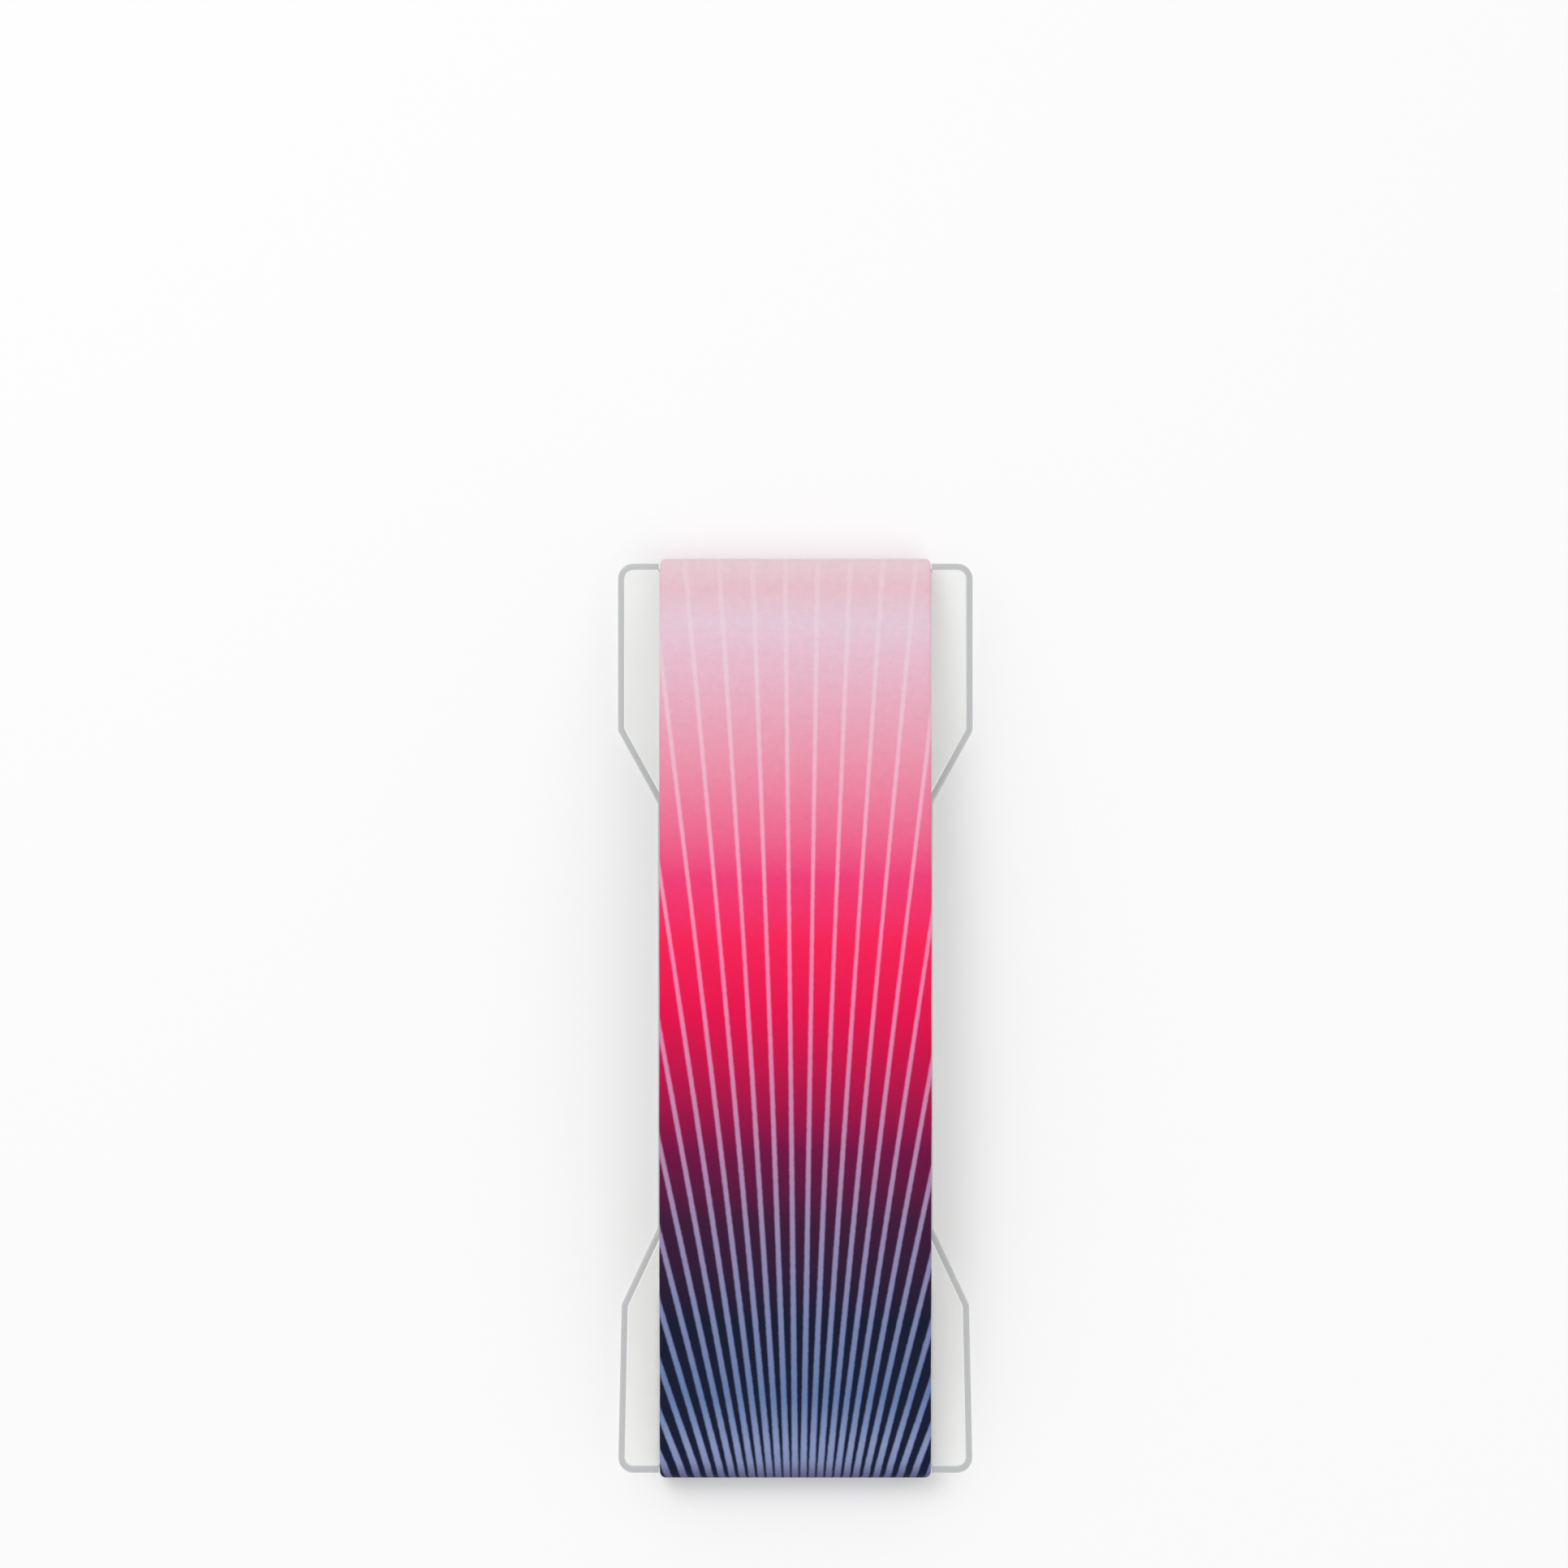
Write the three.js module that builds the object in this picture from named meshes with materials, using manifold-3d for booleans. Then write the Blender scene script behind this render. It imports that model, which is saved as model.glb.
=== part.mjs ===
// Finger strap for the back of a phone: a printed elastic band, folded round both ends of a clear
// moulded plate, its tails taped up underneath, with a foam adhesive pad that sticks the plate down.
// Millimetres, +Z up. X runs across the strap and Y along it. The strap lies on its adhesive pad,
// with the origin on the pad's underside, in the middle.
import * as THREE from "three";
import { mergeVertices } from "three/addons/utils/BufferGeometryUtils.js";
import Module from "manifold-3d";

// Driving dimensions of the band
const bandWidth = 30; // a stock width of elastic
const bandThickness = 1;
const bandEdgeRound = 0.3; // the soft round of each selvedge
const foldCornerRound = 0.7; // where the edges draw in at a fold, seen from the front
const bandStandsProud = 0.55; // how far each fold shows past the plate's end
const tailLength = 19; // flat under the plate, from the fold to the cut end
const fingerGap = 7; // clear height under the middle of the bow

// Driving dimensions of the plate
const plateLength = 100.5;
const webThickness = 1.3; // what is left of the plate between the band's two layers
const earOverhang = 4.6; // each ear's reach past the band's edge
const lowerEarTaper = 0.4; // the lower ears are this much narrower at their shoulders
const neckMargin = 0.2; // the neck's edge past the band's edge
const upperShoulder = 31.8; // from the middle to where the ear's straight side ends
const lowerShoulder = 31.7;
const upperNeckEnd = 23.8; // from the middle to where the slope meets the neck
const lowerNeckEnd = 23.2;
const cornerRound = 1.7;
const shoulderRound = 1.2;
const topEdgeRound = 0.35;

// Driving dimensions of the tapes and the pad
const tapeThickness = 0.15;
const tapeMargin = 0.5; // inside the tail's edges
const padThickness = 0.8;
const padInset = 0.8; // the pad's edge inside the plate's edge

// Clearances
const sideClearance = 0.25; // the band's edge to the wall of its notch and recess
const tailClearance = 0.5; // the tail's cut end to the end of its recess
const recessCornerRound = 0.8;

// What follows from them
const recessDepth = bandThickness + tapeThickness;
const plateThickness = webThickness + recessDepth;
const seatWidth = bandWidth + 2 * sideClearance;
const foldInner = webThickness / 2 + tapeThickness;
const foldOuter = foldInner + bandThickness;
const foldCentreY = plateLength / 2 + bandStandsProud - foldOuter;
const foldCentreZ = recessDepth + webThickness / 2;
const tailEndY = foldCentreY - tailLength;
const recessEndY = tailEndY - tailClearance;

// How finely the rounds are cut. An arc in a shape has twice its number of steps.
const plateArc = 4;
const bandArc = 12;
const edgeSteps = 4;
const smallestRound = 0.05;

// How far a cutter runs past what it cuts
const overshoot = 1;

// A profile drawn in Y and Z and pushed out along X
const acrossStrap = new THREE.Matrix4().makeBasis(
  new THREE.Vector3(0, 1, 0),
  new THREE.Vector3(0, 0, 1),
  new THREE.Vector3(1, 0, 0),
);

const wasm = await Module();
wasm.setup();

function toSolid(geometry) {
  const bare = geometry.clone();
  bare.deleteAttribute("normal");
  bare.deleteAttribute("uv");
  const merged = mergeVertices(bare);
  const mesh = new wasm.Mesh({
    numProp: 3,
    vertProperties: merged.attributes.position.array,
    triVerts: new Uint32Array(merged.index.array),
  });
  return new wasm.Manifold(mesh);
}

function toGeometry(solid) {
  const mesh = solid.getMesh();
  const geometry = new THREE.BufferGeometry();
  geometry.setAttribute("position", new THREE.BufferAttribute(mesh.vertProperties, 3));
  geometry.setIndex(new THREE.BufferAttribute(mesh.triVerts, 1));
  const faceted = geometry.toNonIndexed();
  faceted.computeVertexNormals();
  return faceted;
}

// A closed shape through corners that run counter-clockwise, drawn in by a margin, with an arc at
// each corner. The margin takes from the round of an outer corner and adds to that of an inner one.
function roundedShape(corners, margin) {
  const shape = new THREE.Shape();
  corners.forEach(([x, y, round], i) => {
    const here = new THREE.Vector2(x, y);
    const before = corners.at(i - 1);
    const after = corners[(i + 1) % corners.length];
    const arriving = here.clone().sub(new THREE.Vector2(before[0], before[1])).normalize();
    const leaving = new THREE.Vector2(after[0], after[1]).sub(here).normalize();
    const inward = new THREE.Vector2(-arriving.y, arriving.x);
    const nextInward = new THREE.Vector2(-leaving.y, leaving.x);
    const miter = inward.clone().add(nextInward).multiplyScalar(margin / (1 + inward.dot(nextInward)));
    const turn = Math.atan2(arriving.cross(leaving), arriving.dot(leaving));
    const side = Math.sign(turn);
    const radius = Math.max(round - side * margin, smallestRound);
    const reach = radius * Math.tan(Math.abs(turn) / 2);
    const start = here.clone().add(miter).addScaledVector(arriving, -reach);
    const centre = start.clone().addScaledVector(inward, side * radius);
    const from = Math.atan2(start.y - centre.y, start.x - centre.x);
    shape.absarc(centre.x, centre.y, radius, from, from + turn, side < 0);
  });
  shape.closePath();
  return shape;
}

// The hourglass seen from the front: two pairs of ears on a neck as wide as the band.
function hourglass(margin) {
  const neck = bandWidth / 2 + neckMargin;
  const ear = bandWidth / 2 + earOverhang;
  const lowerWaist = ear - lowerEarTaper;
  const end = plateLength / 2;
  const rightSide = [
    [ear, -end, cornerRound],
    [lowerWaist, -lowerShoulder, shoulderRound],
    [neck, -lowerNeckEnd, shoulderRound],
    [neck, upperNeckEnd, shoulderRound],
    [ear, upperShoulder, shoulderRound],
    [ear, end, cornerRound],
  ];
  const leftSide = rightSide.map(([x, y, round]) => [-x, y, round]).reverse();
  return roundedShape([...rightSide, ...leftSide], margin);
}

// The moulding's blank: the hourglass with a round top edge and a crisp lower one.
function plateBlank() {
  const under = topEdgeRound + overshoot;
  const blank = new THREE.ExtrudeGeometry(hourglass(0), {
    depth: plateThickness + under - 2 * topEdgeRound,
    curveSegments: plateArc,
    bevelSize: topEdgeRound,
    bevelOffset: -topEdgeRound,
    bevelThickness: topEdgeRound,
    bevelSegments: edgeSteps,
  });
  blank.translate(0, 0, topEdgeRound - under);
  const waste = new THREE.BoxGeometry(plateLength, 2 * plateLength, 2 * under);
  waste.translate(0, 0, -under);
  return toSolid(blank).subtract(toSolid(waste));
}

// What is cut away at one end for the band: everything past a full-round nose as thick as the web.
function endNotch() {
  const beyond = foldCentreY + 2 * foldOuter;
  const profile = new THREE.Shape();
  profile.moveTo(foldCentreY, -overshoot);
  profile.lineTo(beyond, -overshoot);
  profile.lineTo(beyond, plateThickness + overshoot);
  profile.lineTo(foldCentreY, plateThickness + overshoot);
  profile.lineTo(foldCentreY, plateThickness);
  profile.absarc(foldCentreY, foldCentreZ, webThickness / 2, Math.PI / 2, -Math.PI / 2, true);
  profile.closePath();
  const notch = new THREE.ExtrudeGeometry(profile, {
    depth: seatWidth,
    curveSegments: bandArc,
    bevelEnabled: false,
  });
  notch.translate(0, 0, -seatWidth / 2);
  notch.applyMatrix4(acrossStrap);
  return toSolid(notch);
}

// The shallow pocket in the plate's back that takes one taped tail.
function tailRecess() {
  const half = seatWidth / 2;
  const open = foldCentreY + foldOuter;
  const corners = [
    [-half, recessEndY, recessCornerRound],
    [half, recessEndY, recessCornerRound],
    [half, open, recessCornerRound],
    [-half, open, recessCornerRound],
  ];
  const pocket = new THREE.ExtrudeGeometry(roundedShape(corners, 0), {
    depth: recessDepth + overshoot,
    curveSegments: plateArc,
    bevelEnabled: false,
  });
  pocket.translate(0, 0, -overshoot);
  return toSolid(pocket);
}

function basePlate() {
  const seat = endNotch().add(tailRecess());
  const otherSeat = seat.rotate([0, 0, 180]);
  const plate = plateBlank().subtract(seat).subtract(otherSeat);
  const clear = new THREE.MeshStandardMaterial({
    color: "#dfe5e8",
    roughness: 0.12,
    metalness: 0,
    transparent: true,
    opacity: 0.45,
  });
  return named("base_plate", toGeometry(plate), clear);
}

// The band is one strip. From the side it is a flat tail, a fold round the plate's nose, a low bow
// over the finger gap, and the same again at the other end. The bow's arc touches both fold arcs.
// Each fold draws the edges in a little, which rounds the band's corners seen from the front.
function fingerBand() {
  const foldMiddle = (foldInner + foldOuter) / 2;
  const bowTop = plateThickness + fingerGap + bandThickness / 2 - foldCentreZ;
  const bowRadius = (foldCentreY ** 2 + bowTop ** 2 - foldMiddle ** 2) / (2 * (bowTop - foldMiddle));
  const bowCentreZ = foldCentreZ + bowTop - bowRadius;
  const lean = Math.asin(foldCentreY / (bowRadius - foldMiddle));
  const bowOuter = bowRadius + bandThickness / 2;
  const bowInner = bowRadius - bandThickness / 2;
  const up = Math.PI / 2;

  const profile = new THREE.Shape();
  profile.moveTo(tailEndY, 0);
  profile.absarc(foldCentreY, foldCentreZ, foldOuter, -up, up - lean, false);
  profile.absarc(0, bowCentreZ, bowOuter, up - lean, up + lean, false);
  profile.absarc(-foldCentreY, foldCentreZ, foldOuter, up + lean, 3 * up, false);
  profile.lineTo(-tailEndY, 0);
  profile.lineTo(-tailEndY, bandThickness);
  profile.absarc(-foldCentreY, foldCentreZ, foldInner, 3 * up, up + lean, true);
  profile.absarc(0, bowCentreZ, bowInner, up + lean, up - lean, true);
  profile.absarc(foldCentreY, foldCentreZ, foldInner, up - lean, -up, true);
  profile.lineTo(tailEndY, bandThickness);
  profile.closePath();

  const strip = new THREE.ExtrudeGeometry(profile, {
    depth: bandWidth - 2 * bandEdgeRound,
    curveSegments: bandArc,
    bevelSize: bandEdgeRound,
    bevelOffset: -bandEdgeRound,
    bevelThickness: bandEdgeRound,
    bevelSegments: edgeSteps,
  });
  strip.translate(0, 0, bandEdgeRound - bandWidth / 2);
  strip.applyMatrix4(acrossStrap);

  const half = bandWidth / 2;
  const end = foldCentreY + foldOuter;
  const corners = [
    [half, -end, foldCornerRound],
    [half, end, foldCornerRound],
    [-half, end, foldCornerRound],
    [-half, -end, foldCornerRound],
  ];
  const frontOutline = new THREE.ExtrudeGeometry(roundedShape(corners, 0), {
    depth: plateThickness + fingerGap + bandThickness + 2 * overshoot,
    curveSegments: plateArc,
    bevelEnabled: false,
  });
  frontOutline.translate(0, 0, -overshoot);
  const band = toGeometry(toSolid(strip).intersect(toSolid(frontOutline)));
  const elastic = new THREE.MeshStandardMaterial({ color: "#e0194e", roughness: 0.8, metalness: 0 });
  return named("finger_band", band, elastic);
}

// A strip of transfer tape between one tail and the floor of its recess.
function tailTape(name, end) {
  const half = bandWidth / 2 - tapeMargin;
  const inner = tailEndY + tapeMargin;
  const outer = foldCentreY - tapeMargin;
  const strip = new THREE.Shape();
  strip.moveTo(-half, inner);
  strip.lineTo(half, inner);
  strip.lineTo(half, outer);
  strip.lineTo(-half, outer);
  strip.closePath();
  const tape = new THREE.ExtrudeGeometry(strip, { depth: tapeThickness, bevelEnabled: false });
  const amber = new THREE.MeshStandardMaterial({ color: "#d9c9a0", roughness: 0.35, metalness: 0 });
  const piece = named(name, tape, amber);
  piece.position.z = bandThickness;
  piece.rotation.z = end > 0 ? 0 : Math.PI;
  return piece;
}

// The foam pad is cut to the hourglass, a little inside the plate's edge.
function adhesivePad() {
  const pad = new THREE.ExtrudeGeometry(hourglass(padInset), {
    depth: padThickness,
    curveSegments: plateArc,
    bevelEnabled: false,
  });
  const foam = new THREE.MeshStandardMaterial({ color: "#f7f7f5", roughness: 0.9, metalness: 0 });
  return named("adhesive_pad", pad, foam);
}

function named(name, geometry, material) {
  const mesh = new THREE.Mesh(geometry, material);
  mesh.name = name;
  return mesh;
}

const onPad = new THREE.Group();
onPad.position.z = padThickness;
onPad.add(basePlate(), fingerBand(), tailTape("upper_tail_tape", 1), tailTape("lower_tail_tape", -1));

const fingerStrap = new THREE.Group();
fingerStrap.name = "finger_strap";
fingerStrap.add(adhesivePad(), onPad);

export default fingerStrap;
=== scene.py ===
# A finger strap for the back of a phone, dressed for its picture: a foam pad, a clear plate, two
# tail tapes and a printed elastic band. Metres throughout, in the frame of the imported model.
import math

import bpy
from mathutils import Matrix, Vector


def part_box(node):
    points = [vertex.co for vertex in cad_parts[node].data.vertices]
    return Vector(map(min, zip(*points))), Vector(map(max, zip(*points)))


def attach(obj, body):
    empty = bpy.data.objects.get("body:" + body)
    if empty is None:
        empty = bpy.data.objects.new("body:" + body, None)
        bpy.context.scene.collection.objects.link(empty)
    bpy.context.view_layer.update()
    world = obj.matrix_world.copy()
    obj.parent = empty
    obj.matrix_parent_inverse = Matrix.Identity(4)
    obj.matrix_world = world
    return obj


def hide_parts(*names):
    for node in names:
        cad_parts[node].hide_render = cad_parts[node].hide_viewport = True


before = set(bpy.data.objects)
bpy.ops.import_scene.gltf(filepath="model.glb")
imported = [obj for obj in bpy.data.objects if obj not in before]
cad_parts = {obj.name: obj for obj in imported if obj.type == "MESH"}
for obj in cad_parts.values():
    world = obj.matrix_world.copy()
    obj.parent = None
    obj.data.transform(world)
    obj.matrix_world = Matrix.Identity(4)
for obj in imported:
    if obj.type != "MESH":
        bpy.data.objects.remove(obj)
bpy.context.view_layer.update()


# The adhesive pad
# A die-cut piece of white double-sided foam tape, 0.8 mm thick. It is cut to the plate's hourglass,
# a little inside its edge, and holds the plate to the phone.
MM = 0.001
pad_low, pad_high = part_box("adhesive_pad")
plate_low, plate_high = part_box("base_plate")
band_low, band_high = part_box("finger_band")
PAD_INSET = 0.8 * MM
PAD_AIR = 0.02 * MM  # so that the foam's face and the plate's back don't lie in one plane
PAD_BULGE = 0.04 * MM  # the squeezed foam stands out this far at half its height
PAD_WHITE = "#fefefd"
FOAM_CELL = 0.22 * MM  # a real cell is about half of this, too fine to show

PLATE_HALF_LENGTH = plate_high.y
EAR_HALF_WIDTH = plate_high.x
NECK_HALF_WIDTH = band_high.x + 0.2 * MM
LOWER_EAR_TAPER = 0.4 * MM
UPPER_SHOULDER = 31.8 * MM
LOWER_SHOULDER = 31.7 * MM
UPPER_NECK_END = 23.8 * MM
LOWER_NECK_END = 23.2 * MM
CORNER_ROUND = 1.7 * MM
SHOULDER_ROUND = 1.2 * MM
CORNER_STEPS = 14


def rounded_outline(corners, margin):
    """Points through counter-clockwise corners (x, y, round), drawn in by a margin, with an arc at each."""
    points = []
    for i, (x, y, rounding) in enumerate(corners):
        here = Vector((x, y))
        arriving = (here - Vector(corners[i - 1][:2])).normalized()
        leaving = (Vector(corners[(i + 1) % len(corners)][:2]) - here).normalized()
        inward = Vector((-arriving.y, arriving.x))
        next_inward = Vector((-leaving.y, leaving.x))
        turn = math.atan2(arriving.x * leaving.y - arriving.y * leaving.x, arriving.dot(leaving))
        side = math.copysign(1, turn)
        radius = max(rounding - side * margin, 0.05 * MM)
        corner = here + (inward + next_inward) * (margin / (1 + inward.dot(next_inward)))
        start = corner - arriving * (radius * math.tan(abs(turn) / 2))
        centre = start + inward * (side * radius)
        first = math.atan2(start.y - centre.y, start.x - centre.x)
        for step in range(CORNER_STEPS + 1):
            angle = first + turn * step / CORNER_STEPS
            points.append((centre.x + radius * math.cos(angle), centre.y + radius * math.sin(angle)))
    return points


def hourglass(margin):
    """The plate's outline from the front, drawn in by a margin."""
    lower_waist = EAR_HALF_WIDTH - LOWER_EAR_TAPER
    right_side = [
        (EAR_HALF_WIDTH, -PLATE_HALF_LENGTH, CORNER_ROUND),
        (lower_waist, -LOWER_SHOULDER, SHOULDER_ROUND),
        (NECK_HALF_WIDTH, -LOWER_NECK_END, SHOULDER_ROUND),
        (NECK_HALF_WIDTH, UPPER_NECK_END, SHOULDER_ROUND),
        (EAR_HALF_WIDTH, UPPER_SHOULDER, SHOULDER_ROUND),
        (EAR_HALF_WIDTH, PLATE_HALF_LENGTH, CORNER_ROUND),
    ]
    left_side = [(-x, y, rounding) for x, y, rounding in reversed(right_side)]
    return rounded_outline(right_side + left_side, margin)


def stacked(name, rings):
    """A closed mesh through rings of points, each ring (outline, z), from the lowest to the highest."""
    mesh = bpy.data.meshes.new(name)
    count = len(rings[0][0])
    points = [(x, y, z) for outline, z in rings for x, y in outline]
    faces = [tuple(reversed(range(count)))]
    for level in range(len(rings) - 1):
        for i in range(count):
            j = (i + 1) % count
            low = level * count
            faces.append((low + i, low + j, low + count + j, low + count + i))
    faces.append(tuple(range((len(rings) - 1) * count, len(rings) * count)))
    mesh.from_pydata(points, [], faces)
    return mesh


def shown(name, mesh, *materials, crease=35):
    """Puts a mesh in the scene, smooth but for its creases."""
    piece = bpy.data.objects.new(name, mesh)
    bpy.context.scene.collection.objects.link(piece)
    for material in materials:
        mesh.materials.append(material)
    mesh.shade_smooth()
    mesh.set_sharp_from_angle(angle=math.radians(crease))
    return piece


def linear(code):
    """An sRGB hex colour as the linear colour that a socket holds."""
    parts = [int(code[i:i + 2], 16) / 255 for i in (1, 3, 5)]
    return (*[c / 12.92 if c <= 0.04045 else ((c + 0.055) / 1.055) ** 2.4 for c in parts], 1)


def add(tree, kind, settings, inputs):
    """Adds a node with its settings, and gives its inputs values or links."""
    made = tree.nodes.new(kind)
    for key, value in settings.items():
        setattr(made, key, value)
    for key, value in inputs.items():
        if isinstance(value, bpy.types.NodeSocket):
            tree.links.new(value, made.inputs[key])
        else:
            made.inputs[key].default_value = value
    return made


def new_material(name):
    """A material with only its output node, and its tree."""
    material = bpy.data.materials.new(name)
    material.use_nodes = True
    material.node_tree.nodes.clear()
    return material, material.node_tree


# Closed-cell foam with an acrylic adhesive face: dead white and matt, with fine open cells at the cut.
def white_foam():
    material, tree = new_material("white_closed_cell_foam")
    place = add(tree, "ShaderNodeTexCoord", {}, {}).outputs["Object"]
    cells = add(tree, "ShaderNodeTexVoronoi", {}, {"Vector": place, "Scale": 1 / FOAM_CELL})
    mottle = add(tree, "ShaderNodeTexNoise", {}, {"Vector": place, "Scale": 1 / (3 * MM), "Detail": 3})
    tone = add(tree, "ShaderNodeMix", {"data_type": "RGBA"}, {
        "Factor": mottle.outputs["Fac"], "A": linear(PAD_WHITE), "B": linear("#fafaf8")})
    bump = add(tree, "ShaderNodeBump", {}, {
        "Height": cells.outputs["Distance"], "Strength": 0.25, "Distance": 0.05 * MM})
    foam = add(tree, "ShaderNodeBsdfPrincipled", {}, {
        "Base Color": tone.outputs["Result"], "Roughness": 0.85, "IOR": 1.47,
        "Normal": bump.outputs["Normal"]})
    add(tree, "ShaderNodeOutputMaterial", {}, {"Surface": foam.outputs["BSDF"]})
    return material


pad_top = pad_high.z - PAD_AIR
pad_rings = []
for step in range(9):
    share = step / 8
    bulge = PAD_BULGE * math.sin(math.pi * share)
    pad_rings.append((hourglass(PAD_INSET - bulge), pad_low.z + (pad_top - pad_low.z) * share))
pad = shown("foam_adhesive_pad", stacked("foam_adhesive_pad", pad_rings), white_foam())
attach(pad, "root")
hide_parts("adhesive_pad")


# The base plate
# One clear polycarbonate moulding with ears at both ends. A notch with a full-round nose at each end
# and a shallow pocket in the back take the band's folds and tails. It sticks to the pad.
BAND_THICKNESS = 1 * MM
TAPE_THICKNESS = 0.15 * MM
WEB_THICKNESS = 1.3 * MM
SIDE_CLEARANCE = 0.12 * MM  # the elastic nearly fills its notch and pocket
TAIL_CLEARANCE = 0.5 * MM
TAIL_LENGTH = 19 * MM
TOP_EDGE_ROUND = 0.35 * MM
POCKET_ROUND = 0.8 * MM
EDGE_BAND = 0.67 * MM  # the edge is satin this far in
# painted shade: the satin edge's grey, in place of the shade that a clear plastic rim shows
EDGE_PAINTED_SHADE_GREY = "#c3c5c6"
EDGE_STEPS = 6
NOSE_STEPS = 20
OVERSHOOT = 1 * MM

back = plate_low.z
pocket_top = back + BAND_THICKNESS + TAPE_THICKNESS
fold_inner = WEB_THICKNESS / 2 + TAPE_THICKNESS
fold_outer = fold_inner + BAND_THICKNESS
fold_y = band_high.y - fold_outer
fold_z = pocket_top + WEB_THICKNESS / 2
tail_end = fold_y - TAIL_LENGTH
seat_half = band_high.x + SIDE_CLEARANCE


def pushed_across(name, profile, half):
    """A closed mesh of a (y, z) profile, pushed out along X to both sides."""
    mesh = bpy.data.meshes.new(name)
    count = len(profile)
    points = [(x, y, z) for x in (-half, half) for y, z in profile]
    faces = [tuple(reversed(range(count))), tuple(range(count, 2 * count))]
    faces += [(i, (i + 1) % count, count + (i + 1) % count, count + i) for i in range(count)]
    mesh.from_pydata(points, [], faces)
    return mesh


def cut_away(piece, cutters):
    """Cuts each mesh from the piece and keeps the result. A wall of a cut takes the second material."""
    for mesh in cutters:
        for material in piece.data.materials:
            mesh.materials.append(material)
        for face in mesh.polygons:
            face.material_index = 0 if abs(face.normal.z) > 0.9 else 1
        tool = bpy.data.objects.new("cutter", mesh)
        bpy.context.scene.collection.objects.link(tool)
        cut = piece.modifiers.new("cut", "BOOLEAN")
        cut.operation = "DIFFERENCE"
        cut.solver = "EXACT"
        cut.object = tool
        seen = piece.evaluated_get(bpy.context.evaluated_depsgraph_get())
        result = bpy.data.meshes.new_from_object(seen)
        piece.modifiers.remove(cut)
        piece.data = result
        bpy.data.objects.remove(tool)


def lamps_through(tree, shader, tint):
    """Ends a material. The lamps' light, and light from a matt face, passes straight through it."""
    ray = add(tree, "ShaderNodeLightPath", {}, {})
    lamp = add(tree, "ShaderNodeMath", {"operation": "MAXIMUM"}, {
        0: ray.outputs["Is Shadow Ray"], 1: ray.outputs["Is Diffuse Ray"]})
    through = add(tree, "ShaderNodeBsdfTransparent", {}, {"Color": linear(tint)})
    both = add(tree, "ShaderNodeMixShader", {}, {
        0: lamp.outputs[0], 1: shader.outputs["BSDF"], 2: through.outputs["BSDF"]})
    add(tree, "ShaderNodeOutputMaterial", {}, {"Surface": both.outputs[0]})


# Clear polycarbonate out of a polished mould: water-clear, with the soft ripple of moulded plastic,
# so that the ears show the white foam under them. Lamps shine straight through.
def clear_polycarbonate():
    material, tree = new_material("clear_moulded_polycarbonate")
    place = add(tree, "ShaderNodeTexCoord", {}, {}).outputs["Object"]
    ripple = add(tree, "ShaderNodeTexNoise", {}, {"Vector": place, "Scale": 1 / (6 * MM), "Detail": 2})
    bump = add(tree, "ShaderNodeBump", {}, {
        "Height": ripple.outputs["Fac"], "Strength": 0.15, "Distance": 0.1 * MM})
    clear = add(tree, "ShaderNodeBsdfPrincipled", {}, {
        "Base Color": linear("#fcfdfd"), "Roughness": 0.03, "IOR": 1.585,
        "Transmission Weight": 1, "Normal": bump.outputs["Normal"]})
    lamps_through(tree, clear, "#ffffff")
    return material


# The moulding's edge and the walls of its notches and pockets are left satin. Their neutral grey is
# painted shade, standing in for the shade at a clear rim, and the edge draws the plate's outline on the
# white foam.
def satin_rim_with_painted_shade():
    material, tree = new_material("satin_polycarbonate_rim_painted_shade")
    place = add(tree, "ShaderNodeTexCoord", {}, {}).outputs["Object"]
    frost = add(tree, "ShaderNodeTexNoise", {}, {"Vector": place, "Scale": 1 / (0.3 * MM), "Detail": 2})
    bump = add(tree, "ShaderNodeBump", {}, {
        "Height": frost.outputs["Fac"], "Strength": 0.2, "Distance": 0.02 * MM})
    edge = add(tree, "ShaderNodeBsdfPrincipled", {}, {
        "Base Color": linear(EDGE_PAINTED_SHADE_GREY), "Roughness": 0.4, "IOR": 1.585,
        "Transmission Weight": 0.3, "Normal": bump.outputs["Normal"]})
    lamps_through(tree, edge, "#fafafa")
    return material


plate_rings = [(hourglass(EDGE_BAND), back), (hourglass(0), back)]
for step in range(EDGE_STEPS + 1):
    angle = math.pi / 2 * step / EDGE_STEPS
    inset = TOP_EDGE_ROUND * (1 - math.cos(angle))
    plate_rings.append((hourglass(inset), plate_high.z - TOP_EDGE_ROUND * (1 - math.sin(angle))))
plate_rings.append((hourglass(EDGE_BAND), plate_high.z))

notch = [(fold_y, back - OVERSHOOT), (fold_y + 2 * fold_outer, back - OVERSHOOT),
         (fold_y + 2 * fold_outer, plate_high.z + OVERSHOOT), (fold_y, plate_high.z + OVERSHOOT)]
nose = WEB_THICKNESS / 2
for step in range(NOSE_STEPS + 1):
    angle = math.pi / 2 - math.pi * step / NOSE_STEPS
    notch.append((fold_y + nose * math.cos(angle), fold_z + nose * math.sin(angle)))
pocket_end = tail_end - TAIL_CLEARANCE
pocket = rounded_outline([
    (-seat_half, pocket_end, POCKET_ROUND), (seat_half, pocket_end, POCKET_ROUND),
    (seat_half, band_high.y, POCKET_ROUND), (-seat_half, band_high.y, POCKET_ROUND)], 0)
other_notch = [(-y, z) for y, z in reversed(notch)]
other_pocket = [(-x, -y) for x, y in pocket]
plate_mesh = stacked("clear_base_plate", plate_rings)
plate = shown("clear_base_plate", plate_mesh, clear_polycarbonate(), satin_rim_with_painted_shade())
for face in plate_mesh.polygons[1:-1]:
    face.material_index = 1
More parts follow.
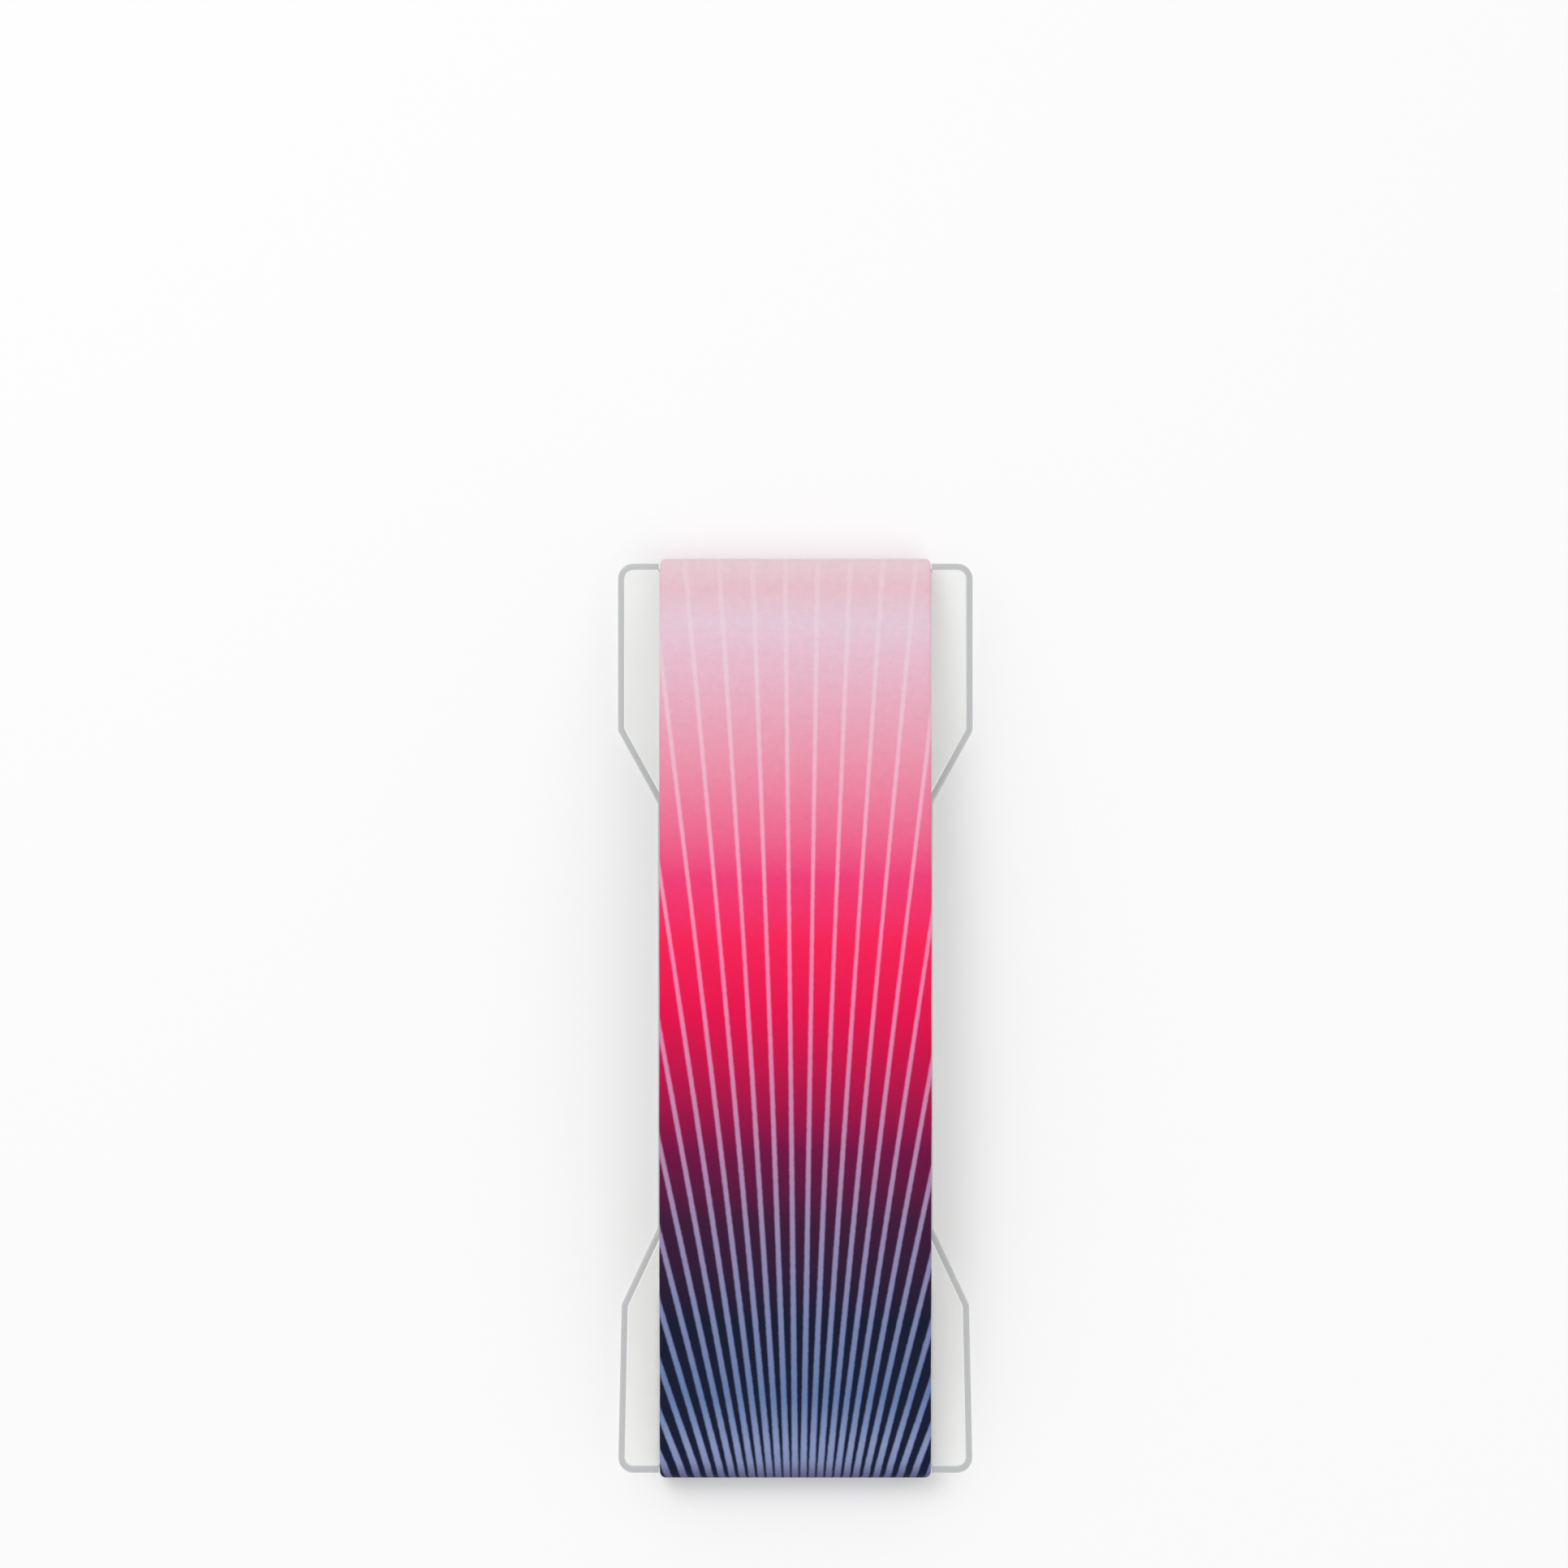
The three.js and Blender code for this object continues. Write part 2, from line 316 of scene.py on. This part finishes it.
cut_away(plate, [
    pushed_across("notch", notch, seat_half),
    pushed_across("other_notch", other_notch, seat_half),
    stacked("pocket", [(pocket, back - OVERSHOOT), (pocket, pocket_top)]),
    stacked("other_pocket", [(other_pocket, back - OVERSHOOT), (other_pocket, pocket_top)]),
])
plate.data.shade_smooth()
plate.data.set_sharp_from_angle(angle=math.radians(35))
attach(plate, "root")
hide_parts("base_plate")


# The tail tapes
# Two strips of transfer tape, a bare film of acrylic adhesive, between each tail of the band and the
# floor of its pocket. They show faintly through the plate under the bow.
TAPE_AIR = 0.01 * MM  # from the tape's faces to the plate and the tail
TAPE_ROUND = 0.4 * MM


# Acrylic adhesive film: pale straw, with the soft blotches of a wetted-out bond.
def adhesive_film():
    material, tree = new_material("acrylic_transfer_tape")
    place = add(tree, "ShaderNodeTexCoord", {}, {}).outputs["Object"]
    blotch = add(tree, "ShaderNodeTexNoise", {}, {"Vector": place, "Scale": 1 / (2.5 * MM), "Detail": 4})
    tone = add(tree, "ShaderNodeMix", {"data_type": "RGBA"}, {
        "Factor": blotch.outputs["Fac"], "A": linear("#ded6bd"), "B": linear("#efe9d8")})
    bump = add(tree, "ShaderNodeBump", {}, {
        "Height": blotch.outputs["Fac"], "Strength": 0.3, "Distance": 0.05 * MM})
    film = add(tree, "ShaderNodeBsdfPrincipled", {}, {
        "Base Color": tone.outputs["Result"], "Roughness": 0.35, "IOR": 1.47,
        "Normal": bump.outputs["Normal"]})
    add(tree, "ShaderNodeOutputMaterial", {}, {"Surface": film.outputs["BSDF"]})
    return material


film = adhesive_film()
for node in ("upper_tail_tape", "lower_tail_tape"):
    low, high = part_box(node)
    corners = [(low.x, low.y, TAPE_ROUND), (high.x, low.y, TAPE_ROUND),
               (high.x, high.y, TAPE_ROUND), (low.x, high.y, TAPE_ROUND)]
    outline = rounded_outline(corners, 0)
    tape_rings = [(outline, low.z + TAPE_AIR), (outline, high.z - TAPE_AIR)]
    tape = shown(node + "_film", stacked(node, tape_rings), film)
    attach(tape, "root")
    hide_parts(node)


# The finger band
# One strip of 30 mm elastic, knitted in polyester and elastane and printed on its face by heat
# transfer. It folds round both noses of the plate, and its tails are taped up in the back pockets.
BAND_EDGE_ROUND = 0.35 * MM
FOLD_CORNER_ROUND = 0.35 * MM
EDGE_DROOP = 0.12 * MM  # the bow's edges hang a little below its middle
EDGE_WANDER = 0.05 * MM  # how far each edge strays from a straight line
WANDER_WAVES = [(0.5, 3.1, 1.3), (0.3, 1.37, 0), (0.2, 7.9, 0.4)]  # each one's share, reach in mm and start
BOW_STEPS = 150
FOLD_STEPS = 30
TAIL_STEPS = 12
FACE_COLUMNS = 30
EDGE_COLUMNS = 5
FACE_AIR = 0.02 * MM  # from the tail's printed face to the foam pad

half_width = band_high.x
fold_middle = (fold_inner + fold_outer) / 2
bow_rise = band_high.z - BAND_THICKNESS / 2 - fold_z
bow_radius = (fold_y**2 + bow_rise**2 - fold_middle**2) / (2 * (bow_rise - fold_middle))
bow_z = fold_z + bow_rise - bow_radius
lean = math.asin(fold_y / (bow_radius - fold_middle))
bow_reach = bow_radius * lean
fold_reach = bow_reach + fold_middle * (math.pi - lean)
strip_reach = fold_reach + TAIL_LENGTH


def on_the_strip(along):
    """The place (y, z) and the outward direction on the strip's middle, along from the bow's top."""
    side = math.copysign(1, along)
    run = abs(along)
    if run <= bow_reach:
        angle = run / bow_radius
        place = (bow_radius * math.sin(angle), bow_z + bow_radius * math.cos(angle))
    elif run <= fold_reach:
        angle = lean + (run - bow_reach) / fold_middle
        place = (fold_y + fold_middle * math.sin(angle), fold_z + fold_middle * math.cos(angle))
    else:
        angle = math.pi
        place = (fold_y - (run - fold_reach), fold_z - fold_middle)
    return side * place[0], place[1], side * math.sin(angle), math.cos(angle)


def half_width_at(along, reach):
    """Half the band's width: it draws in at the very end of each fold, and its edges wander a little."""
    short = min(max(0, FOLD_CORNER_ROUND - (band_high.y - reach)), FOLD_CORNER_ROUND)
    drawn_in = FOLD_CORNER_ROUND - math.sqrt(FOLD_CORNER_ROUND**2 - short**2)
    wander = sum(share * math.sin(along / MM / wave + start) for share, wave, start in WANDER_WAVES)
    return half_width - drawn_in - EDGE_WANDER * (0.5 + 0.5 * wander)


def strip_section(half):
    """The strip's section as (x, height) from the middle of its thickness, and which face each is on."""
    flat = half - BAND_EDGE_ROUND
    thick = BAND_THICKNESS / 2
    section = []
    for i in range(FACE_COLUMNS + 1):
        section.append((flat * (2 * i / FACE_COLUMNS - 1), thick))
    for i in range(1, EDGE_COLUMNS * 2):
        angle = math.pi / 2 - math.pi * i / (EDGE_COLUMNS * 2)
        section.append((flat + BAND_EDGE_ROUND * math.cos(angle), thick * math.sin(angle)))
    for i in range(FACE_COLUMNS + 1):
        section.append((flat * (1 - 2 * i / FACE_COLUMNS), -thick))
    for i in range(1, EDGE_COLUMNS * 2):
        angle = -math.pi / 2 - math.pi * i / (EDGE_COLUMNS * 2)
        section.append((-flat + BAND_EDGE_ROUND * math.cos(angle), thick * math.sin(angle)))
    return section


def spread(first, last, steps):
    return [first + (last - first) * i / steps for i in range(steps)]


stations = spread(-strip_reach, -fold_reach, TAIL_STEPS)
stations += spread(-fold_reach, -bow_reach, FOLD_STEPS)
stations += spread(-bow_reach, bow_reach, BOW_STEPS)
stations += spread(bow_reach, fold_reach, FOLD_STEPS)
stations += spread(fold_reach, strip_reach, TAIL_STEPS) + [strip_reach]

strip_points = []
strip_marks = []
for along in stations:
    y, z, out_y, out_z = on_the_strip(along)
    half = half_width_at(along, abs(y + out_y * BAND_THICKNESS / 2))
    bowed = max(0, math.cos(math.pi / 2 * min(abs(along) / bow_reach, 1)))
    for x, height in strip_section(half):
        droop = EDGE_DROOP * bowed * (x / half_width) ** 2
        lift = height - droop
        if abs(along) > fold_reach:
            lift = min(lift, BAND_THICKNESS / 2 - FACE_AIR)
        strip_points.append((x, y + out_y * lift, z + out_z * lift))
        strip_marks.append((x / half_width / 2 + 0.5, along / strip_reach / 2 + 0.5))

section_size = 2 * (FACE_COLUMNS + 1) + 2 * (2 * EDGE_COLUMNS - 1)
printed_columns = list(range(FACE_COLUMNS + EDGE_COLUMNS))
printed_columns += list(range(section_size - EDGE_COLUMNS, section_size))
strip_faces = []
strip_kinds = []
for row in range(len(stations) - 1):
    for i in range(section_size):
        j = (i + 1) % section_size
        low = row * section_size
        strip_faces.append((low + i, low + section_size + i, low + section_size + j, low + j))
        strip_kinds.append(0 if i in printed_columns else 1)
strip_faces.append(tuple(range(section_size)))
last_row = (len(stations) - 1) * section_size
strip_faces.append(tuple(reversed(range(last_row, last_row + section_size))))
strip_kinds += [1, 1]

strip_mesh = bpy.data.meshes.new("printed_elastic_band")
strip_mesh.from_pydata(strip_points, [], strip_faces)
print_map = strip_mesh.uv_layers.new(name="printed_face")
for loop in strip_mesh.loops:
    print_map.data[loop.index].uv = strip_marks[loop.vertex_index]

# The print: a fade from pale pink through red to navy, under fine rays that open from a point below
# the strap. The fades' first stops, and the rays' last ones, also paint a highlight and a shade where the
# strip turns round the folds. All in millimetres; the fades' places run down the strip from the upper fold.
PRINTED_LENGTH = 104
# painted highlight and shade: the ground's stops at 0.9, 4 and 8 mm paint light and shade where the strip
# turns over the upper fold
GROUND_FADE_AND_FOLD_SHADING = [(0.9, "#eacdd6"), (4, "#e7c1cb"), (8, "#e7cad9"), (36.5, "#f23f7b"), (43.5, "#f82258"),
               (51, "#e9104e"), (66.5, "#720f45"), (74.5, "#3e173a"), (85.5, "#141831"), (103, "#121a32")]
# painted highlight and shade: the rays' stops at 0.9 to 8 mm do the same at the upper fold, and those from
# 99.5 mm on paint a highlight and then shade round the lower fold
RAY_FADE_AND_FOLD_SHADING = [(0.9, "#ecd0d8"), (4, "#eccbd6"), (8, "#e9d2dc"), (45.5, "#fb83af"), (72, "#a58cb4"),
            (83, "#8489b4"), (94, "#687fae"), (99.5, "#8996c1"), (101.5, "#8490bb"), (103, "#626182")]
RAY_FOCUS_BELOW = 85.46  # from the bow's top down to the point that the rays open from
RAY_FOCUS_ASIDE = 0.35  # and from the strap's middle across to it
RAY_STEP = math.radians(3.552)
RAY_STRETCH = 0.426  # the burst is drawn this narrow for its height
RAY_SHIFT = 0.409  # of a step, off the middle
RAY_SKEW = 0.0009  # for each millimetre across, since the cloth was printed a little askew
RAY_WIDTH = 0.385  # where the rays are thinnest
RAY_THINNEST = 13  # above the bow's top
RAY_WIDENS = 0.004  # for each millimetre away from there
RAY_FLARE_BELOW = 43  # the rays flare from this far below the bow's top
RAY_FLARE = 0.007  # for each millimetre further down
RAY_BLEED = 0.13  # how far the ink feathers
INK_STRAY = 0.12  # how far a ray's edge wavers
INK_STRAY_LENGTH = 0.625
INK_MOTTLE = 0.91
MOTTLE_DEPTH = 0.12
INK_GRAIN = 0.2  # about half a stitch
GRAIN_DEPTH = 0.2
SPECK_SPACING = 1.43
SPECK_SIZE = 0.05  # of the spacing
SPECK_DEPTH = 0.18
KNIT_COURSE = 0.42  # pitch of the knit along the strap
KNIT_WALE = 0.36  # and across it
BACK_RIB = 0.9  # pitch of the rubber threads that show on the back
BACK_YARN = 0.25


# Sublimated polyester knit: matt and dye-deep, the ink feathered along the stitches and a little
# uneven, with a fine stitch grain that breaks up the light and a few darker specks of pooled ink.
# Its colour also carries the fades' painted highlight and shade at the folds.
def printed_knit():
    material, tree = new_material("sublimated_polyester_knit")

    def math_node(operation, *values, clamp=False):
        settings = {"operation": operation, "use_clamp": clamp}
        return add(tree, "ShaderNodeMath", settings, dict(enumerate(values))).outputs[0]

    mark = add(tree, "ShaderNodeUVMap", {"uv_map": "printed_face"}, {})
    split = add(tree, "ShaderNodeSeparateXYZ", {}, {0: mark.outputs["UV"]})
    across = math_node("MULTIPLY_ADD", split.outputs["X"], 2 * half_width / MM, -half_width / MM)
    along = math_node("MULTIPLY_ADD", split.outputs["Y"], 2 * strip_reach / MM, -strip_reach / MM)
    place = add(tree, "ShaderNodeCombineXYZ", {}, {"X": across, "Y": along}).outputs[0]

    feather = add(tree, "ShaderNodeTexNoise", {}, {
        "Vector": place, "Scale": 1 / INK_STRAY_LENGTH, "Detail": 3})
    strayed = math_node("MULTIPLY_ADD", feather.outputs["Fac"], INK_STRAY, -INK_STRAY / 2)
    straight = math_node("SUBTRACT", math_node("ADD", across, strayed), RAY_FOCUS_ASIDE)
    aside = math_node("MULTIPLY", straight, math_node("MULTIPLY_ADD", straight, RAY_SKEW, 1))
    above = math_node("ADD", along, RAY_FOCUS_BELOW)
    slope = math_node("DIVIDE", aside, math_node("MULTIPLY", above, RAY_STRETCH))
    number = math_node("MULTIPLY_ADD", math_node("ARCTANGENT", slope), 1 / RAY_STEP, RAY_SHIFT)
    off = math_node("ABSOLUTE", math_node("SUBTRACT", number, math_node("ROUND", number)))
    spacing = math_node("MULTIPLY", math_node("MULTIPLY", above, RAY_STRETCH * RAY_STEP),
                        math_node("MULTIPLY_ADD", slope, slope, 1))
    distance = math_node("MULTIPLY", off, spacing)
    away = math_node("ABSOLUTE", math_node("SUBTRACT", along, RAY_THINNEST))
    flared = math_node("MAXIMUM", math_node("SUBTRACT", -RAY_FLARE_BELOW, along), 0)
    half_upright = math_node("MULTIPLY_ADD", flared, RAY_FLARE / 2,
                             math_node("MULTIPLY_ADD", away, RAY_WIDENS / 2, RAY_WIDTH / 2))
    slant = math_node("DIVIDE", aside, above)
    slanted = math_node("SQRT", math_node("MULTIPLY_ADD", slant, slant, 1))
    half_ray = math_node("MULTIPLY", half_upright, slanted)
    ray = add(tree, "ShaderNodeMapRange", {"interpolation_type": "SMOOTHSTEP"}, {
        "Value": distance, "From Min": math_node("SUBTRACT", half_ray, RAY_BLEED),
        "From Max": math_node("ADD", half_ray, RAY_BLEED), "To Min": 1, "To Max": 0}).outputs[0]

    down = math_node("MULTIPLY_ADD", along, -1 / PRINTED_LENGTH, 0.5, clamp=True)

    def fade(stops):
        ramp = add(tree, "ShaderNodeValToRGB", {}, {0: down})
        elements = ramp.color_ramp.elements
        while len(elements) < len(stops):
            elements.new(1)
        for element, (height, code) in zip(elements, stops):
            element.position = height / PRINTED_LENGTH
            element.color = linear(code)
        return ramp.outputs["Color"]

    print_and_fold_shading = add(tree, "ShaderNodeMix", {"data_type": "RGBA"}, {
        "Factor": ray, "A": fade(GROUND_FADE_AND_FOLD_SHADING), "B": fade(RAY_FADE_AND_FOLD_SHADING)}).outputs["Result"]
    course = math_node("SINE", math_node("MULTIPLY", along, 2 * math.pi / KNIT_COURSE))
    wale = math_node("SINE", math_node("MULTIPLY", across, 2 * math.pi / KNIT_WALE))
    stitch = math_node("MULTIPLY", course, wale)
    grain = add(tree, "ShaderNodeTexNoise", {}, {
        "Vector": place, "Scale": 1 / INK_GRAIN, "Detail": 4, "Roughness": 0.7})
    height = math_node("ADD", math_node("MULTIPLY", stitch, 0.3), grain.outputs["Fac"])
    mottle = add(tree, "ShaderNodeTexNoise", {}, {"Vector": place, "Scale": 1 / INK_MOTTLE, "Detail": 3})
    darkest = 1 - (MOTTLE_DEPTH + GRAIN_DEPTH) / 2
    even = math_node("MULTIPLY_ADD", mottle.outputs["Fac"], MOTTLE_DEPTH, darkest)
    tone = math_node("MULTIPLY_ADD", grain.outputs["Fac"], GRAIN_DEPTH, even)
    cells = add(tree, "ShaderNodeTexVoronoi", {}, {
        "Vector": place, "Scale": 1 / SPECK_SPACING, "Randomness": 1})
    speck = math_node("LESS_THAN", cells.outputs["Distance"], SPECK_SIZE)
    inked = math_node("MULTIPLY", tone, math_node("MULTIPLY_ADD", speck, -SPECK_DEPTH, 1))
    dyed_with_fold_shading = add(tree, "ShaderNodeVectorMath", {"operation": "SCALE"}, {0: print_and_fold_shading, "Scale": inked})
    bump = add(tree, "ShaderNodeBump", {}, {"Height": height, "Strength": 0.35, "Distance": 0.05 * MM})
    knit = add(tree, "ShaderNodeBsdfPrincipled", {}, {
        "Base Color": dyed_with_fold_shading.outputs[0], "Roughness": 0.8, "IOR": 1.5,
        "Specular IOR Level": 0.1, "Sheen Weight": 0.03, "Sheen Roughness": 0.4,
        "Normal": bump.outputs["Normal"]})
    add(tree, "ShaderNodeOutputMaterial", {}, {"Surface": knit.outputs["BSDF"]})
    return material


# The back of the elastic takes no print: white yarn over rubber threads, which stand up as ribs.
def bare_elastic():
    material, tree = new_material("unprinted_elastic_back")
    mark = add(tree, "ShaderNodeUVMap", {"uv_map": "printed_face"}, {})
    place = add(tree, "ShaderNodeMapping", {}, {
        "Vector": mark.outputs["UV"], "Scale": (2 * half_width / MM, 2 * strip_reach / MM, 1)})
    ribs = add(tree, "ShaderNodeTexWave", {"bands_direction": "X"}, {
        "Vector": place.outputs[0], "Scale": math.pi / BACK_RIB / 10, "Distortion": 0.4})
    yarn = add(tree, "ShaderNodeTexNoise", {}, {
        "Vector": place.outputs[0], "Scale": 1 / BACK_YARN, "Detail": 3})
    tone = add(tree, "ShaderNodeMix", {"data_type": "RGBA"}, {
        "Factor": yarn.outputs["Fac"], "A": linear("#e4e2e3"), "B": linear("#f6f4f4")})
    height = add(tree, "ShaderNodeMath", {"operation": "MULTIPLY_ADD"}, {
        0: yarn.outputs["Fac"], 1: 0.4, 2: ribs.outputs["Fac"]})
    bump = add(tree, "ShaderNodeBump", {}, {
        "Height": height.outputs[0], "Strength": 0.5, "Distance": 0.08 * MM})
    elastic = add(tree, "ShaderNodeBsdfPrincipled", {}, {
        "Base Color": tone.outputs["Result"], "Roughness": 0.85, "IOR": 1.5,
        "Specular IOR Level": 0.3, "Sheen Weight": 0.1, "Normal": bump.outputs["Normal"]})
    add(tree, "ShaderNodeOutputMaterial", {}, {"Surface": elastic.outputs["BSDF"]})
    return material


band = shown("printed_elastic_band", strip_mesh, printed_knit(), bare_elastic(), crease=50)
for face, kind in zip(strip_mesh.polygons, strip_kinds):
    face.material_index = kind
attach(band, "root")
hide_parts("finger_band")


# The stage
# A plain white floor and an even white surround, with two broad soft lamps over the strap.
FLOOR_HALF = 1.5
FLOOR_WHITE = "#ffffff"
SURROUND = 0.7  # the surround's light, where a white seen straight on is 1
KEY_POWER = 2.4
FILL_POWER = 1.3

floor_mesh = bpy.data.meshes.new("floor")
floor_mesh.from_pydata([(-FLOOR_HALF, -FLOOR_HALF, 0), (FLOOR_HALF, -FLOOR_HALF, 0),
                        (FLOOR_HALF, FLOOR_HALF, 0), (-FLOOR_HALF, FLOOR_HALF, 0)], [], [(0, 1, 2, 3)])
floor_paint, floor_tree = new_material("matt_white_floor")
floor_coat = add(floor_tree, "ShaderNodeBsdfPrincipled", {}, {
    "Base Color": linear(FLOOR_WHITE), "Roughness": 1, "Specular IOR Level": 0})
add(floor_tree, "ShaderNodeOutputMaterial", {}, {"Surface": floor_coat.outputs["BSDF"]})
floor_mesh.materials.append(floor_paint)
floor = bpy.data.objects.new("floor", floor_mesh)
floor.location.z = -0.01 * MM
bpy.context.scene.collection.objects.link(floor)

world = bpy.data.worlds.new("white_surround")
world.use_nodes = True
world.node_tree.nodes.clear()
ray_kind = add(world.node_tree, "ShaderNodeLightPath", {}, {})
seen = add(world.node_tree, "ShaderNodeMath", {"operation": "MAXIMUM"}, {
    0: ray_kind.outputs["Is Camera Ray"], 1: ray_kind.outputs["Is Glossy Ray"]})
seen_through = add(world.node_tree, "ShaderNodeMath", {"operation": "MAXIMUM"}, {
    0: seen.outputs[0], 1: ray_kind.outputs["Is Transmission Ray"]})
strength = add(world.node_tree, "ShaderNodeMapRange", {}, {
    "Value": seen_through.outputs[0], "To Min": SURROUND, "To Max": 1})
surround = add(world.node_tree, "ShaderNodeBackground", {}, {
    "Color": (1, 1, 1, 1), "Strength": strength.outputs[0]})
add(world.node_tree, "ShaderNodeOutputWorld", {}, {"Surface": surround.outputs[0]})
bpy.context.scene.world = world


def soft_lamp(name, power, side, place):
    """A square lamp that shines at the strap's middle."""
    light = bpy.data.lights.new(name, "AREA")
    light.energy = power
    light.size = side
    lamp = bpy.data.objects.new(name, light)
    lamp.location = place
    lamp.rotation_mode = "QUATERNION"
    lamp.rotation_quaternion = (-Vector(place)).to_track_quat("-Z", "Y")
    bpy.context.scene.collection.objects.link(lamp)


soft_lamp("key", KEY_POWER, 0.6, (-0.35, 0.45, 0.8))
soft_lamp("fill", FILL_POWER, 0.8, (0.45, -0.4, 0.8))


# The camera
# It looks straight down through a long lens, since the band shows no widening where it bows up. The
# photograph's frame is 1932 px square, with the strap low in it.
PHOTO_SIDE_PX = 1932
PX = 0.0896 * MM
STRAP_MIDDLE_PX = (980, 1255)
LENS_MM = 300
SENSOR_MM = 36
SHARP_HEIGHT = 5 * MM  # the height above the floor at which the photograph's scale holds

camera = bpy.data.objects.new("camera", bpy.data.cameras.new("camera"))
camera.data.lens = LENS_MM
camera.data.sensor_width = SENSOR_MM
distance = PHOTO_SIDE_PX * PX * LENS_MM / SENSOR_MM
camera.location = (
    (PHOTO_SIDE_PX / 2 - STRAP_MIDDLE_PX[0]) * PX,
    (STRAP_MIDDLE_PX[1] - PHOTO_SIDE_PX / 2) * PX,
    distance + SHARP_HEIGHT,
)
camera.data.clip_start = 0.1
camera.data.clip_end = 10
bpy.context.scene.collection.objects.link(camera)
bpy.context.scene.camera = camera
bpy.context.scene.view_settings.view_transform = "Standard"
